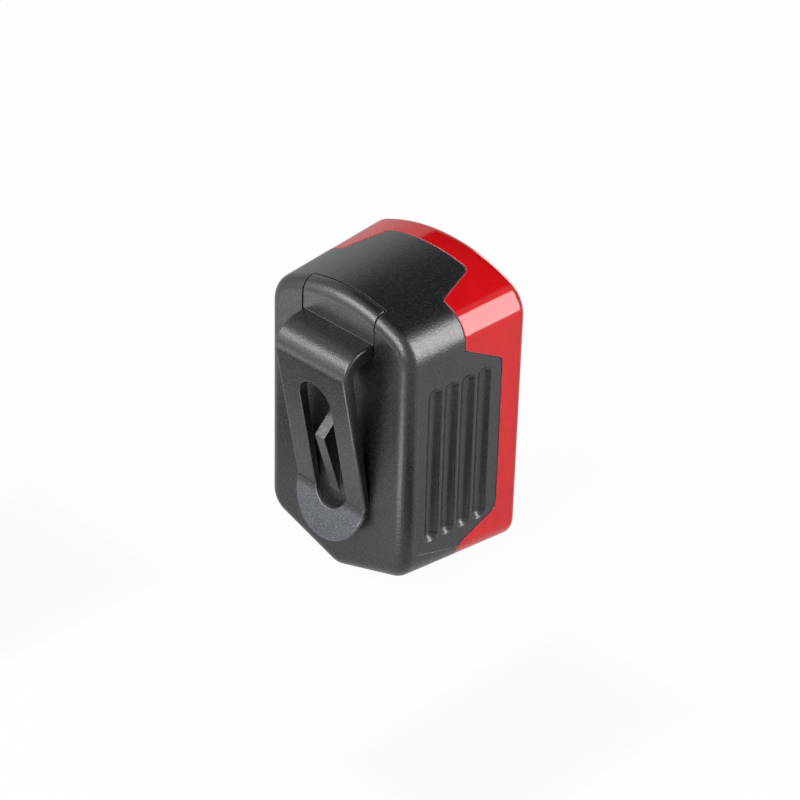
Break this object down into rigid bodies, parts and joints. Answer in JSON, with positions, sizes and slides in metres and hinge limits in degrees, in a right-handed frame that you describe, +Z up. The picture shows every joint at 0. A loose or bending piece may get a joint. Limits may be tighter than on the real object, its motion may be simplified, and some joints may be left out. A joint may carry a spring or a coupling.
{
  "type": "bicycle rear light",
  "caption": "Clip-on bicycle rear light: drafted black shell with finger flutes and a belt clip, wrap-round red lens cover with a push button, lit by emitters on a board.",
  "frame": {"origin": "on the flat back face under the belt clip, at the height of the wedge catch's crest", "axes": "+X across the lamp, -Y the way the lens faces, +Y out of the back towards the clip, +Z up"},
  "size_m": [0.0426, 0.0392, 0.0677],
  "materials": {
    "housing_black": "fine sparkly texture",
    "clip_black": "fine sparkly texture",
    "lens_red": "polished, clear red",
    "gasket_rubber": "soft black",
    "cradle_plastic": "plain moulded",
    "cell_sleeve": "plain sleeve",
    "contact_metal": "nickel plated",
    "spring_metal": "nickel plated wire",
    "screw_steel": "zinc plated",
    "board_green": "solder mask",
    "chip_black": "moulded",
    "component_metal": "cans and chips",
    "emitter": "clear dome",
    "reflector_bright": "vacuum plated",
    "switch_black": "moulded",
    "plunger_brown": "moulded",
    "button_red": "satin"
  },
  "bodies": {
    "housing": {"rear_housing": "housing_black", "housing_gasket": "gasket_rubber", "battery_cradle": "cradle_plastic", "battery_left": "cell_sleeve", "battery_right": "cell_sleeve", "bridge_contact": "contact_metal", "positive_contact": "contact_metal", "negative_contact": "contact_metal", "spring_lower": "spring_metal", "spring_upper": "spring_metal", "cradle_screws": "screw_steel"},
    "clip": {"belt_clip": "clip_black"},
    "cover": {"lens_cover": "lens_red", "reflector": "reflector_bright", "circuit_board": "board_green", "led_centre": "emitter", "led_left": "emitter", "led_right": "emitter", "controller_chip": "chip_black", "board_components": "component_metal", "tact_switch": "switch_black", "board_screws": "screw_steel", "contact_blades": "contact_metal"},
    "button": {"push_button": "button_red", "switch_plunger": "plunger_brown"}
  },
  "joints": [
    {"name": "clip_flex", "type": "hinge", "parent": "housing", "child": "clip", "pos_m": [0, -0.0029, 0.031], "axis": [1, 0, 0], "range_deg": [0, 5], "stiffness_Nm_per_rad": 3},
    {"name": "lens_off", "type": "slide", "parent": "housing", "child": "cover", "axis": [0, -1, 0], "range_m": [0, 0.02]},
    {"name": "button_press", "type": "slide", "parent": "cover", "child": "button", "axis": [0, 1, 0], "range_m": [0, 0.0006], "stiffness_N_per_m": 1500}
  ]
}
